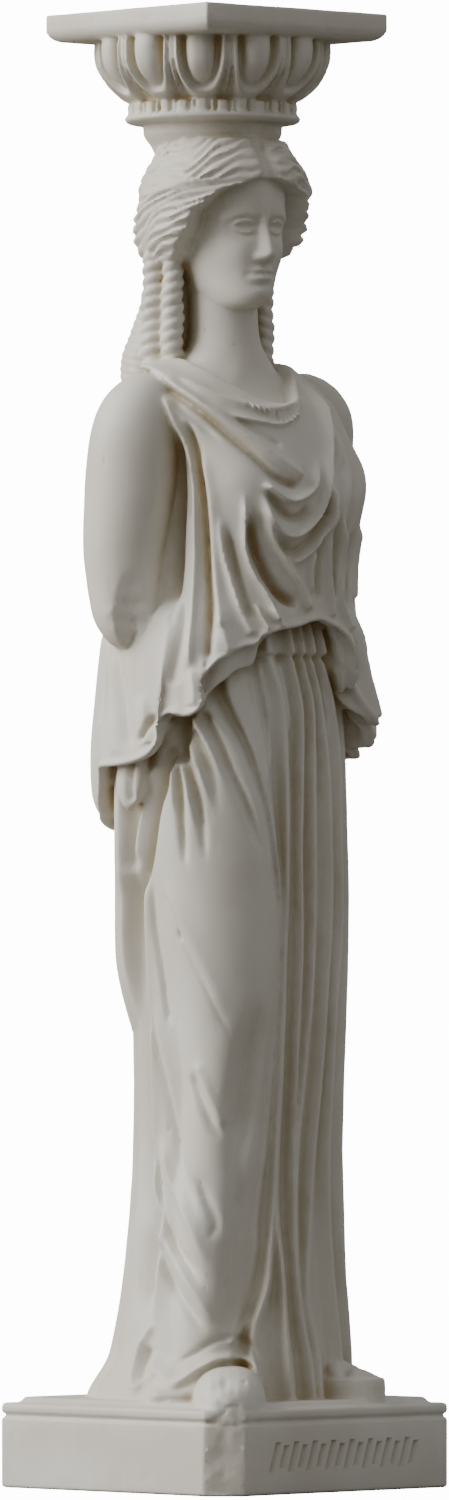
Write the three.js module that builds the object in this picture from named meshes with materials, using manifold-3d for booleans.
import * as THREE from "three";
import Module from "manifold-3d";

const wasm = await Module();
wasm.setup();

// A cast statuette of a draped woman who stands on a square plinth and carries
// a capital on her head. Millimetres; the origin is the middle of the
// underside, +Z is up, and she faces -Y, so her right side is at -X.
// The whole piece is one casting, so it is one closed body.

const totalHeight = 260;
const plinthSide = 56;
const plinthHeight = 16;
const plinthBlock = 12.4;
const plinthGroove = 0.8;
const plinthGrooveDepth = 0.5;
const slabFall = 1;
const plinthCornerRadius = 0.8;
const chamferLeg = 5;

const capitalHeight = 23;
const capitalBack = 2;
const bellBack = 3;
const abacusSide = 42.2;
const abacusHeight = 4.9;
const abacusUpright = 2.65;
const abacusRound = 1.5;
const drumRadius = 12.2;
const beadRingRadius = 15;
const beadRise = 0.9;
const beadCount = 26;
const eggCount = 12;
const eggTurn = -51.2;
const eggRise = 1.1;

const strokeCount = 16;
const strokePitch = 2.3;
const strokeWidth = 0.8;
const strokeTall = 5;
const strokeShort = 3.2;
const strokeLean = 0.9;
const strokeDepth = 0.4;
const strokeMiddle = 6.6;

const figureHeight = totalHeight - plinthHeight - capitalHeight;

// The figure's own sizes are written for a figure 221 mm tall, and k scales
// them. Heights h run from the soles (0) to the crown (221).
const k = figureHeight / 221;

const rad = Math.PI / 180;
const clamp = (x, a, b) => Math.min(b, Math.max(a, x));
const ease = (a, b, x) => {
  const t = clamp((x - a) / (b - a), 0, 1);
  return t * t * (3 - 2 * t);
};
const wrap = (a) => ((((a + 180) % 360) + 360) % 360) - 180;
const bump = (x, width) => Math.exp(-((x / width) ** 2));

// Smooth curve through rows [h, value, value, ...].
function track(rows, h) {
  const last = rows.length - 1;
  if (h <= rows[0][0]) return rows[0].slice(1);
  if (h >= rows[last][0]) return rows[last].slice(1);
  let i = 0;
  while (h > rows[i + 1][0]) i += 1;
  const a = rows[i];
  const b = rows[i + 1];
  const span = b[0] - a[0];
  const t = (h - a[0]) / span;
  const before = rows[Math.max(0, i - 1)];
  const after = rows[Math.min(last, i + 2)];
  return a.slice(1).map((value, j) => {
    const end = b[j + 1];
    const m0 = ((end - before[j + 1]) / (b[0] - before[0])) * span;
    const m1 = ((after[j + 1] - value) / (after[0] - a[0])) * span;
    const t2 = t * t;
    const t3 = t2 * t;
    return (2 * t3 - 3 * t2 + 1) * value + (t3 - 2 * t2 + t) * m0 + (3 * t2 - 2 * t3) * end + (t3 - t2) * m1;
  });
}

// Radius of a rounded plan with its own reach to the right, left, front, back.
function plan([right, left, front, back], turn, n) {
  const s = Math.sin(turn * rad);
  const c = Math.cos(turn * rad);
  const side = s < 0 ? right : left;
  const deep = c > 0 ? front : back;
  return (Math.abs(s / side) ** n + Math.abs(c / deep) ** n) ** (-1 / n);
}

// Drapery of the skirt.

// Reach of the skirt [h, right, left, front, back] from its own middle line.
const skirtMiddle = [1, -2];
const skirtReach = [
  [-2, 26, 20.5, 19.3, 25],
  [1, 26, 20.5, 19.3, 25],
  [8, 22.5, 20.5, 19.3, 21],
  [29, 19.5, 19, 17.3, 17.8],
  [50, 18.5, 18.8, 17, 16.8],
  [86, 20.5, 20, 17.6, 15.5],
  [100, 21.5, 20.5, 17.5, 14.5],
  [115, 21, 20, 17, 14.5],
  [130, 19, 18, 16.4, 13.5],
  [152, 15.5, 15.5, 14.5, 12],
];

// The bent leg under the cloth: [h, x, y, radius] of thigh, knee and shin.
const leg = [
  [-4, -14, -10.5, 6.5],
  [8, -14, -10, 6.5],
  [25, -12.8, -9.8, 6.6],
  [45, -11.5, -11, 7.2],
  [56, -11.3, -11.5, 7.2],
  [70, -10.4, -10.4, 9],
  [85, -9.8, -9, 11],
  [112, -8.5, -6, 12.8],
  [130, -7, -3, 11],
];

// Where the upright pleats of the standing leg begin, as a turn from the front.
const pleatStart = [
  [-2, -34],
  [2, -34],
  [17, -44],
  [35, -41],
  [54, -34],
  [79, -22],
  [95, -28],
  [123, -43],
  [152, -46],
];
const pleatBands = [
  { to: 50, pleats: 10, depth: 1.35 },
  { to: 115, pleats: 6, depth: 1.3 },
  { to: 245, pleats: 10, depth: 1.3 },
  { to: null, pleats: 7, depth: 0.7 },
];

// Turn and pleat phase at the share u of the way round, at height h.
function skirtColumn(band, phase, h) {
  const start = track(pleatStart, h)[0];
  const from = band === 0 ? start : pleatBands[band - 1].to;
  const to = band === 3 ? start + 360 : pleatBands[band].to;
  return from + ((to - from) * phase) / pleatBands[band].pleats;
}

function pleat(phase, ridge) {
  const s = Math.sin(Math.PI * phase);
  return ridge - Math.sqrt(s * s + ridge * ridge);
}

function legRadius(turn, h) {
  const [x, y, r] = track(leg, h);
  const dx = x - skirtMiddle[0];
  const dy = y - skirtMiddle[1];
  const s = Math.sin(turn * rad);
  const c = -Math.cos(turn * rad);
  const along = dx * s + dy * c;
  const off = dx * c - dy * s;
  return Math.abs(off) < r ? along + Math.sqrt(r * r - off * off) : 0;
}

function smoothMax(a, b, soft) {
  const t = clamp(0.5 + (a - b) / (2 * soft), 0, 1);
  return b + (a - b) * t + soft * t * (1 - t);
}

// The cloak that hangs from the shoulders down her back, over skirt and dress.
const cloakLift = 2.2;
const cloakHem = 65;
function cloak(turn, h) {
  const a = turn < 0 ? turn + 360 : turn;
  const rightEdge = 252 - 6 * ease(100, 66, h);
  const across = ease(90, 98, a) * (1 - ease(rightEdge, rightEdge + 7, a));
  return cloakLift * across * ease(cloakHem, cloakHem + 4, h);
}

function skirtRadius(band, phase, h) {
  const turn = wrap(skirtColumn(band, phase, h));
  const start = track(pleatStart, h)[0];
  let base = plan(track(skirtReach, h), turn, 2.2);
  const near = bump(turn - start, 7) * ease(4, 24, h) * (1 - ease(100, 118, h));
  base -= 2.2 * near;
  const limb = legRadius(turn, h);
  const r = smoothMax(limb, base, 1.2);
  const onLeg = ease(-0.5, 1.5, limb - base);
  const depth = pleatBands[band].depth * (1 - 0.8 * onLeg) * (band === 3 ? ease(0, 20, h) * 0.6 + 0.4 : 1);
  return r + depth * pleat(phase, 0.12) + cloak(turn, h);
}

// Dress above the skirt: overfold, chest and shoulders.

// [h, middle x, middle y, right, left, front, back]
const dress = [
  [104, 1, -2, 25.6, 22, 19.4, 22.5],
  [107, 1, -2, 26, 22, 19.4, 22.8],
  [114, 1, -2, 26.2, 22, 19.4, 23],
  [121, 1, -2, 25.6, 23.2, 19.6, 22.6],
  [132, 1, -2, 24, 23, 20.2, 22],
  [138, 1, -2, 21.5, 21.6, 19.4, 21.6],
  [145, 1, -2, 19.4, 21, 19.2, 20.8],
  [153, 1, -2, 18.6, 21, 19.9, 19.4],
  [160, 1, -2, 18.6, 21, 19.7, 18.4],
  [167, 0.7, -1.4, 19, 20.8, 18, 16.8],
  [174, 0.4, -0.2, 20, 20.6, 15.6, 14.6],
  [178, 0.2, 0.2, 17.6, 18.6, 12, 12.4],
  [181, 0, 0.2, 13.6, 15, 9.6, 10.6],
  [183.5, 0, 0.2, 10, 10.8, 8.4, 9],
];

// Upper edge of the dress, low in front where it leaves the throat bare.
const neckline = [
  [-180, 183],
  [-90, 182.6],
  [-66, 181],
  [-42, 177.6],
  [-22, 174.2],
  [-6, 173.2],
  [12, 174.4],
  [34, 178.4],
  [58, 181.4],
  [90, 182.6],
  [180, 183],
];

// Lower edge of the overfold: height against turn.
const overfoldHem = [
  [-180, 102.5],
  [-135, 103],
  [-115, 106.5],
  [-95, 111],
  [-80, 117],
  [-60, 125],
  [-45, 131],
  [-15, 134.5],
  [15, 134.5],
  [30, 130],
  [45, 120],
  [60, 115],
  [90, 110],
  [135, 103],
  [180, 102.5],
];

// Folds of the chest: a ridge (rise > 0) or furrow along points [turn, h].
const folds = [
  { rise: 0.8, wide: 2, at: [[-113, 181], [-68, 178.7], [-46, 175.6], [-29, 172.8], [-10, 173.5]] },
  { rise: 1.5, wide: 2.3, at: [[-120, 180.5], [-80, 178.3], [-55, 174.3], [-35, 168.6], [-14, 163]] },
  { rise: -1.3, wide: 2.2, at: [[-68, 172.5], [-48, 168.5], [-35, 164], [-22, 160]] },
  { rise: 1.1, wide: 2.1, at: [[-33, 159], [-29, 155], [-18, 152.4], [-4, 153.6], [10, 159], [20, 170]] },
  { rise: 1.1, wide: 2.1, at: [[-54, 156], [-46, 149], [-35, 143.5], [-22, 136]] },
  { rise: 1.1, wide: 2.1, at: [[-28, 151], [-11, 144.5], [4, 149.6], [16, 158], [30, 172]] },
  { rise: -1.6, wide: 2.2, at: [[-56, 150], [-57, 141], [-54, 132]] },
  { rise: 1.2, wide: 2, at: [[-76, 174], [-69, 163], [-67, 149], [-64, 130]] },
  { rise: 1.1, wide: 2, at: [[27, 160], [18, 149], [20, 137]] },
  { rise: -1.4, wide: 2.4, at: [[-119, 134], [-118, 124], [-118, 116]] },
];

function foldHeight(turn, h) {
  let sum = 0;
  for (const fold of folds) {
    let best = Infinity;
    let share = 0;
    const count = fold.at.length - 1;
    for (let i = 0; i < count; i += 1) {
      const [a0, h0] = fold.at[i];
      const [a1, h1] = fold.at[i + 1];
      const ux = (a1 - a0) * 0.34;
      const uy = h1 - h0;
      const px = wrap(turn - a0) * 0.34;
      const py = h - h0;
      const t = clamp((px * ux + py * uy) / (ux * ux + uy * uy), 0, 1);
      const d = Math.hypot(px - t * ux, py - t * uy);
      if (d < best) {
        best = d;
        share = (i + t) / count;
      }
    }
    sum += fold.rise * bump(best, fold.wide) * Math.min(1, 5 * share + 0.3, 5 * (1 - share) + 0.3);
  }
  return sum;
}

function dressRadius(turn, h) {
  const [, , right, left, front, back] = track(dress, h);
  let r = plan([right, left, front, back], turn, 2.2);
  r += 2.0 * bump(turn + 42, 19) * bump(h - 160, 8);
  r += 2.2 * bump(turn - 34, 19) * bump(h - 161, 8);
  r += 0.6 * Math.cos((turn - 180) * rad * 9) * bump(wrap(turn - 180), 70) * (1 - ease(165, 178, h));
  const hem = track(overfoldHem, turn)[0];
  r += foldHeight(turn, h) * ease(hem - 1, hem + 2, h);
  return r;
}

function dressPoint(turn, h, out) {
  const [x, y] = track(dress, h);
  const r = dressRadius(turn, h) + out;
  return [x + r * Math.sin(turn * rad), y - r * Math.cos(turn * rad), h];
}

// Neck, head and hair.

// [h, middle y, half width, reach to the front, reach to the back]
const neck = [
  [168, 0, 17, 16.4, 13],
  [173, 0, 15.6, 14.8, 12],
  [176, 0, 14.2, 11.4, 11],
  [179, 0, 11.8, 9, 9.8],
  [182, 0, 9.2, 7.6, 8.6],
  [186, 0.2, 6.9, 6.8, 7.2],
  [192, 0.5, 6.6, 6.6, 7],
  [200, 0.6, 6.6, 6.6, 7],
];
const head = [
  [189.5, 0.6, 2.5, 6, 6],
  [191.2, 0.6, 4.4, 11.4, 7],
  [192.6, 0.6, 5.4, 12.9, 8],
  [194, 0.6, 6.2, 13.2, 9],
  [195.3, 0.6, 6.7, 12.8, 9.5],
  [197, 0.6, 7.2, 13.4, 10],
  [199.5, 0.6, 7.9, 13.6, 10.5],
  [203, 0.6, 8.5, 12.9, 11.5],
  [206.5, 0.6, 8.8, 13.3, 12],
  [211, 0.6, 8.8, 13.2, 12],
  [216, 0.6, 8.2, 11.6, 11],
  [221.5, 0.6, 7, 9, 9],
];
const hair = [
  [188, 0.6, 6, 3, 9],
  [193, 0.6, 8.4, 3, 13],
  [198, 0.6, 10, 8, 15],
  [200.6, 0.6, 11.6, 12, 16.4],
  [202.5, 0.6, 13, 13.5, 17.2],
  [205.3, 0.6, 14.3, 14, 16.6],
  [208.3, 0.6, 14.9, 14.3, 14.8],
  [210, 0.6, 15, 14.6, 13.4],
  [212.6, 0.6, 15, 15, 12.7],
  [215.6, 0.6, 13.9, 15, 12.3],
  [218, 0.6, 12.4, 13.6, 11.5],
  [219.7, 0.6, 11.6, 12, 10.8],
  [221.5, 0.6, 10.6, 10.6, 10.4],
];
// Half the turn that the hair leaves open for the face.
const faceOpening = [
  [188, 120],
  [193, 98],
  [197, 74],
  [200, 64],
  [206, 50],
  [211.5, 30],
  [214, 0],
  [221.5, -40],
];

function headRadius(turn, h) {
  const [, side, front, back] = track(head, h);
  let r = plan([side, side, front, back], turn, 2.3);
  const a = Math.abs(turn);
  r += 2.6 * bump(turn, 7) * bump(h - 200.9, 2.2);
  r += 1.1 * bump(turn, 8) * bump(h - 204, 2.4);
  r -= 1.1 * bump(a - 22, 9) * bump(h - 204.6, 2);
  r += 0.5 * bump(a - 20, 6) * bump(h - 204.4, 1);
  r -= 0.5 * bump(turn, 16) * bump(h - 195.4, 0.8);
  return r;
}

// Hair at the share 'back' of the way from the edge of the face (0) to the
// back of the head (1), on the left (side 1) or on the right (side -1).
const partingDepth = 1;
function hairPoint(side, back, h) {
  const [y, wide, front, rear] = track(hair, h);
  const open = track(faceOpening, h)[0];
  const edge = Math.max(open, 3);
  const turn = side * (edge + (180 - edge) * back);
  const full = plan([wide, wide, front, rear], turn, 2.1);
  const lock = 0.4 * Math.sin(2 * Math.PI * (3.2 * back + h / 9)) * ease(0.02, 0.15, back);
  const inside = open > 2 ? 1 : 0;
  const cover = 1 - inside * (1 - ease(-0.01, 0.09, back));
  const r = 3 + (full + lock - 3) * cover - partingDepth * (1 - inside) * bump(back, 0.04);
  return [r * Math.sin(turn * rad), y - r * Math.cos(turn * rad), h];
}

// The hair gathered down the back, and the twisted locks on the shoulders.
// [h, x, y, half width, half depth]
const backHair = [
  [170, -0.3, 12, 8, 2],
  [173, -0.3, 11.5, 9, 4],
  [177, -0.6, 11.4, 11, 6.6],
  [183, -0.6, 11.4, 11.2, 7.6],
  [188, -0.4, 10.4, 10.4, 6.6],
  [194, 0, 9, 9.6, 6],
  [203, 0, 8, 9, 6],
];
const locks = [
  { x: -9.4, y: 3.2, r: 1.9 },
  { x: -9.8, y: 7.6, r: 2.3 },
  { x: 9.6, y: 0, r: 1.9 },
  { x: 9.8, y: 5, r: 2.3 },
];

// Arms, broken off above the elbow, and feet.

// [h, x, y, radius]
const rightArm = [
  [133, -19.8, 3.4, 1.2],
  [134.6, -20, 3.8, 3.6],
  [138, -20.4, 4.6, 5.4],
  [142.5, -20.6, 4.8, 6.5],
  [149, -20.4, 4.4, 7.3],
  [156, -19.9, 3.9, 7.9],
  [163, -19.5, 3.4, 8.2],
  [170, -19.2, 2.9, 7.8],
  [175, -18.6, 2.5, 6.6],
  [178.5, -17.8, 2.1, 4.2],
  [180, -17.4, 2, 1.2],
];
const leftArm = [
  [137, 20.2, -0.6, 1.2],
  [139, 20.4, -0.6, 4.2],
  [143, 20.9, -0.2, 5.6],
  [150, 21, -0.3, 6.2],
  [160, 21.1, -0.7, 6.6],
  [168, 21.2, -1.1, 7],
  [173.5, 20.9, -1.2, 7],
  [177.5, 19.8, -1.1, 5.8],
  [180, 18.8, -1, 3.6],
  [181, 18.4, -1, 1.2],
];

// [h, middle x, middle y, half length, half width]; 'aim' is the toes' turn.
const rightFoot = {
  aim: -45,
  rows: [
    [-3.6, -18.6, -19.9, 8, 5.2],
    [-1, -18.3, -19.7, 8.2, 5.5],
    [1.5, -18, -19.4, 8, 5.3],
    [3.6, -17.5, -18.8, 7.2, 4.7],
    [5.4, -16.8, -17.8, 5.8, 3.7],
    [6.8, -16, -16.8, 3.6, 2.2],
  ],
};
const leftFoot = {
  aim: 24,
  rows: [
    [-3.6, 9.8, -19.6, 7.6, 4.4],
    [0.2, 9.8, -19.6, 7.7, 4.5],
    [3.4, 9.8, -19.6, 7.6, 4.4],
    [4.2, 9.4, -19, 6.6, 3.7],
    [5.6, 8.8, -17.6, 5, 3],
    [7, 8.2, -16.4, 3, 2],
  ],
};

// Solids.

function solid(points, faces) {
  return new wasm.Manifold(new wasm.Mesh({
    numProp: 3,
    vertProperties: new Float32Array(points.flat()),
    triVerts: new Uint32Array(faces.flat()),
  }));
}

function gap(p, q, target) {
  return Math.hypot(...target.map((v, i) => v - (p[i] + q[i]) / 2));
}

// Closed body from rings of points that run anticlockwise, lowest ring first.
// Where 'centre' gives the true surface in the middle of a four-sided cell,
// the cell is split along the diagonal that lies nearer to it.
function loft(rings, centre) {
  const n = rings[0].length;
  const points = rings.flat();
  const faces = [];
  for (let i = 0; i < rings.length - 1; i += 1) {
    for (let j = 0; j < n; j += 1) {
      const a = i * n + j;
      const b = i * n + ((j + 1) % n);
      const target = centre ? centre(i, j) : null;
      const rising = target
        ? gap(points[a], points[b + n], target) < gap(points[b], points[a + n], target)
        : (i + j) % 2 === 0;
      if (rising) faces.push([a, b, b + n], [a, b + n, a + n]);
      else faces.push([a, b, a + n], [b, b + n, a + n]);
    }
  }
  const middle = (ring) => ring.reduce((sum, p) => sum.map((v, j) => v + p[j] / n), [0, 0, 0]);
  const low = points.push(middle(rings[0])) - 1;
  const high = points.push(middle(rings[rings.length - 1])) - 1;
  const top = (rings.length - 1) * n;
  for (let j = 0; j < n; j += 1) {
    const next = (j + 1) % n;
    faces.push([low, next, j], [high, top + j, top + next]);
  }
  return solid(points, faces);
}

const onFigure = ([x, y, h]) => [k * x, k * y, plinthHeight + k * h];
const turns = (n, from = -180) => Array.from({ length: n }, (_, i) => from + (360 * i) / n);
const steps = (from, to, n) => Array.from({ length: n + 1 }, (_, i) => from + ((to - from) * i) / n);

function skirtSolid() {
  const heights = [-2, 0.6, 4, 10, 19, 30, 40, 50, 64.5, 69, 78, 88, 98, 108, 118, 130, 152];
  const columns = pleatBands.flatMap(({ pleats }, band) => steps(0, pleats - 0.5, 2 * pleats - 1)
    .map((phase) => [band, phase]));
  const point = (band, phase, h) => {
    const turn = wrap(skirtColumn(band, phase, h));
    const r = skirtRadius(band, phase, h);
    const x = skirtMiddle[0] + r * Math.sin(turn * rad);
    return onFigure([x, skirtMiddle[1] - r * Math.cos(turn * rad), h]);
  };
  const rings = heights.map((h) => columns.map(([band, phase]) => point(band, phase, h)));
  const centre = (i, j) => point(columns[j][0], columns[j][1] + 0.25, (heights[i] + heights[i + 1]) / 2);
  return loft(rings, centre);
}

function dressSolid() {
  const around = [...steps(-112, 48, 36), ...steps(48, 248, 18).slice(1, -1).map(wrap)];
  const rim = (turn) => track(neckline, turn)[0];
  const shares = [0, 0.04, 0.12, 0.21, 0.3, 0.39, 0.47, 0.54, 0.61, 0.68, 0.74, 0.8, 0.86, 0.91, 0.96, 1];
  const edge = (turn, j) => track(overfoldHem, turn)[0] + (j % 2 ? 0.7 : -0.7);
  const under = around.map((turn, j) => onFigure(dressPoint(turn, edge(turn, j) + 1.6, -6)));
  const rings = shares.map((share) => around.map((turn, j) => {
    const hem = edge(turn, j);
    const h = hem + (rim(turn) - hem) * share;
    const ruffle = (j % 2 ? -0.8 : 0.6) * (1 - ease(0, 9, h - hem));
    return onFigure(dressPoint(turn, h, ruffle));
  }));
  const centre = (i, j) => {
    const turn = wrap(around[j] + wrap(around[(j + 1) % around.length] - around[j]) / 2);
    const hem = track(overfoldHem, turn)[0];
    const share = ((shares[i - 1] ?? 0) + (shares[i] ?? 1)) / 2;
    return onFigure(dressPoint(turn, hem + (rim(turn) - hem) * share, 0));
  };
  const inner = around.map((turn) => onFigure(dressPoint(turn, rim(turn) - 1.4, -2.6)));
  return loft([under, ...rings, inner], centre);
}

function roundSolid(rows, n, radius, heights) {
  return loft(heights.map((h) => turns(n).map((turn) => {
    const y = track(rows, h)[0];
    const r = radius(turn, h);
    return onFigure([r * Math.sin(turn * rad), y - r * Math.cos(turn * rad), h]);
  })));
}

function headSolid() {
  const heights = [189.5, 191.2, 192.6, 194, 195.3, 197, 198.6, 199.6, 200.9, 202.4, 203.9, 205.6, 207.5,
    211, 216, 221.5];
  const n = 26;
  const close = (turn) => turn - 20 * Math.sin(turn * rad);
  return loft(heights.map((h) => turns(n).map((even) => {
    const turn = close(even);
    const r = headRadius(turn, h);
    return onFigure([r * Math.sin(turn * rad), track(head, h)[0] - r * Math.cos(turn * rad), h]);
  })));
}

function neckSolid() {
  return roundSolid(neck, 16, (turn, h) => {
    const [, side, front, back] = track(neck, h);
    return plan([side, side, front, back], turn, 2);
  }, [168, 173, 176, 179, 182, 185, 190, 197]);
}

function hairSolid() {
  const shares = [0, 0.035, 0.08, 0.16, 0.25, 0.34, 0.43, 0.53, 0.64, 0.76, 0.88, 1];
  const heights = [188, 191, 194, 197, 199.5, 202, 204.5, 207, 209.5, 212, 214.5, 216.5, 219, 221.5];
  return loft(heights.map((h) => [
    ...shares.slice(1).reverse().map((back) => hairPoint(-1, back, h)),
    hairPoint(-1, 0, h),
    hairPoint(1, 0, h),
    ...shares.slice(1, -1).map((back) => hairPoint(1, back, h)),
  ].map(onFigure)));
}

function backHairSolid() {
  return loft(steps(170, 203, 5).map((h) => turns(14).map((turn) => {
    const [x, y, wide, deep] = track(backHair, h);
    const wave = 0.35 * Math.cos(turn * rad * 5);
    return onFigure([x + (wide + wave) * Math.sin(turn * rad), y - (deep + wave) * Math.cos(turn * rad), h]);
  })));
}

function lockSolid({ x, y, r }) {
  const rings = steps(180, 203, 7).map((h) => turns(6).map((turn) => {
    const thick = r * (0.8 + 0.2 * Math.cos(h * 2.2)) * ease(176, 184, h);
    const a = (turn + h * 14) * rad;
    return onFigure([x * (0.97 + 0.03 * (203 - h) / 20) + thick * Math.sin(a), y - thick * Math.cos(a), h]);
  }));
  return loft(rings);
}

function armSolid(rows) {
  return loft(rows.map(([h, x, y, r]) => turns(12).map((turn) =>
    onFigure([x + r * Math.sin(turn * rad), y - 0.98 * r * Math.cos(turn * rad), h]))));
}

function footSolid({ aim, rows }) {
  const s = Math.sin(aim * rad);
  const c = Math.cos(aim * rad);
  return loft(rows.map(([h, x, y, long, wide]) => turns(12).map((turn) => {
    const across = wide * Math.sin(turn * rad);
    const along = long * Math.cos(turn * rad);
    return onFigure([x + across * c + along * s, y + across * s - along * c, h]);
  })));
}

// Outline of the plinth, drawn in by 'inset', with one corner cut off.
function plinthOutline(inset, z) {
  const half = plinthSide / 2 - inset;
  const cut = chamferLeg - inset * 0.6;
  const round = Math.max(0.1, plinthCornerRadius);
  const ring = [[-half + cut, -half, z]];
  for (const [x, y, from] of [[1, -1, -90], [1, 1, 0], [-1, 1, 90]]) {
    for (const a of [0, 45, 90]) {
      const t = (from + a) * rad;
      ring.push([x * (half - round) + round * Math.cos(t), y * (half - round) + round * Math.sin(t), z]);
    }
  }
  ring.push([-half, -half + cut, z]);
  return ring;
}

function plinthSolid() {
  const low = plinthBlock;
  const high = plinthBlock + plinthGroove;
  return loft([
    plinthOutline(0.5, 0),
    plinthOutline(0, 0.5),
    plinthOutline(0, low - 0.2),
    plinthOutline(plinthGrooveDepth, low),
    plinthOutline(plinthGrooveDepth, high - 0.2),
    plinthOutline(0, high),
    plinthOutline(0.15, (plinthHeight - slabFall) - 0.9),
    plinthOutline(0.7, (plinthHeight - slabFall) - 0.25),
    plinthOutline(1.8, (plinthHeight - slabFall)),
    plinthOutline(12, plinthHeight - 0.3),
    plinthOutline(18, plinthHeight),
  ]);
}

// A row of plain leaning strokes, long and short in turn, is cut into the
// front of the plinth.
function strokeSolids() {
  const face = -plinthSide / 2;
  const first = (-strokePitch * (strokeCount - 1)) / 2 + 1.7;
  return Array.from({ length: strokeCount }, (_, i) => {
    const x = first + i * strokePitch;
    const tall = (i % 2 ? strokeShort : strokeTall) / 2;
    const lean = (strokeLean * tall * 2) / strokeTall;
    const half = strokeWidth / 2;
    const ring = (z, shift) => [
      [x + shift - half, face - 1, z],
      [x + shift + half, face - 1, z],
      [x + shift + half, face + strokeDepth, z],
      [x + shift - half, face + strokeDepth, z],
    ];
    return loft([ring(strokeMiddle - tall, -lean), ring(strokeMiddle + tall, lean)]);
  });
}

// Capital.

const capitalBase = totalHeight - capitalHeight;
const echinus = [
  [6.4, 12.6],
  [7.1, 14.4],
  [8.6, 16.5],
  [10.5, 18.5],
  [13, 20],
  [16.4, 20.4],
  [18.4, 20],
];

// Heights of the bell are written for one that reaches 18.1 mm up to the slab.
const bellStretch = (capitalHeight - abacusHeight) / 18.1;
const atCapital = (x, y, up) => [x, capitalBack + y, capitalBase + up];
const atBell = (x, y, up) => [x, bellBack + y, capitalBase + up * bellStretch];

function ringSolid(around, rows) {
  return loft(rows.map(([up, r, carve]) => around.map((turn, j) => {
    const reach = r + (carve ? carve(turn, j, up) : 0);
    return atBell(reach * Math.sin(turn * rad), -reach * Math.cos(turn * rad), up);
  })));
}

// Egg, groove, raised shell, groove and dart across one unit of the moulding.
const eggColumns = [[-0.5, 1], [-0.4, 0], [-0.29, 1], [-0.19, 0], [0, 1.25], [0.19, 0], [0.29, 1], [0.4, 0]];

function capitalSolids() {
  const around = [];
  const relief = [];
  for (let i = 0; i < eggCount; i += 1) {
    eggColumns.forEach(([across, rise], j) => {
      around.push(eggTurn + ((i + across) * 360) / eggCount);
      relief.push([rise, j === 0]);
    });
  }
  const carve = (turn, j, up) => {
    const [rise, dart] = relief[j];
    const fade = dart ? ease(7, 13, up) : ease(7.6, 11, up);
    return eggRise * (rise - 0.9) * fade * (1 - 0.6 * ease(16.5, 18.4, up));
  };
  const eggs = ringSolid(around, echinus.map(([up, r]) => [up, r, carve]));
  const bead = (turn, j) => (j % 2 ? -beadRise / 2 : beadRise / 2);
  const beads = ringSolid(turns(2 * beadCount), [
    [3.5, 11],
    [4.2, beadRingRadius - 0.2, bead],
    [6.2, beadRingRadius - 0.2, bead],
    [7.2, 11.5],
  ]);
  const drum = ringSolid(turns(20), [
    [-3.5, drumRadius - 2.6],
    [-0.4, drumRadius - 1.4],
    [1.6, drumRadius],
    [18, drumRadius],
  ]);
  const corners = [[-1, -1], [1, -1], [1, 1], [-1, 1]];
  const square = (half, up) => corners.map(([x, y]) => atCapital(x * half, y * half, up));
  const half = abacusSide / 2;
  const under = capitalHeight - abacusHeight;
  const upright = capitalHeight - abacusUpright;
  const abacus = loft([
    square(half - abacusRound, under),
    square(half - abacusRound * 0.45, under + (upright - under) * 0.25),
    square(half - abacusRound * 0.13, under + (upright - under) * 0.6),
    square(half, upright),
    square(half, capitalHeight - 0.25),
    square(half - 0.25, capitalHeight),
  ]);
  return [eggs, beads, drum, abacus];
}

function joined(parts) {
  return parts.reduce((sum, part) => sum.add(part));
}

function toGeometry(body) {
  const mesh = body.getMesh();
  const geometry = new THREE.BufferGeometry();
  const flat = [];
  for (let i = 0; i < mesh.vertProperties.length; i += mesh.numProp) {
    flat.push(mesh.vertProperties[i], mesh.vertProperties[i + 1], mesh.vertProperties[i + 2]);
  }
  geometry.setAttribute("position", new THREE.Float32BufferAttribute(flat, 3));
  geometry.setIndex(Array.from(mesh.triVerts));
  geometry.computeVertexNormals();
  return geometry;
}

const statue = joined([
  plinthSolid().subtract(joined(strokeSolids())),
  skirtSolid(),
  dressSolid(),
  armSolid(rightArm),
  armSolid(leftArm),
  footSolid(rightFoot),
  footSolid(leftFoot),
  neckSolid(),
  headSolid(),
  hairSolid(),
  backHairSolid(),
  ...locks.map(lockSolid),
  ...capitalSolids(),
]);

const stone = new THREE.MeshStandardMaterial({ color: 0xd6d0c4, roughness: 0.6, metalness: 0 });
stone.name = "alabaster";

const mesh = new THREE.Mesh(toGeometry(statue), stone);
mesh.name = "caryatid_statue";

const group = new THREE.Group();
group.name = "caryatid_statue_row";
group.add(mesh);

export default group;
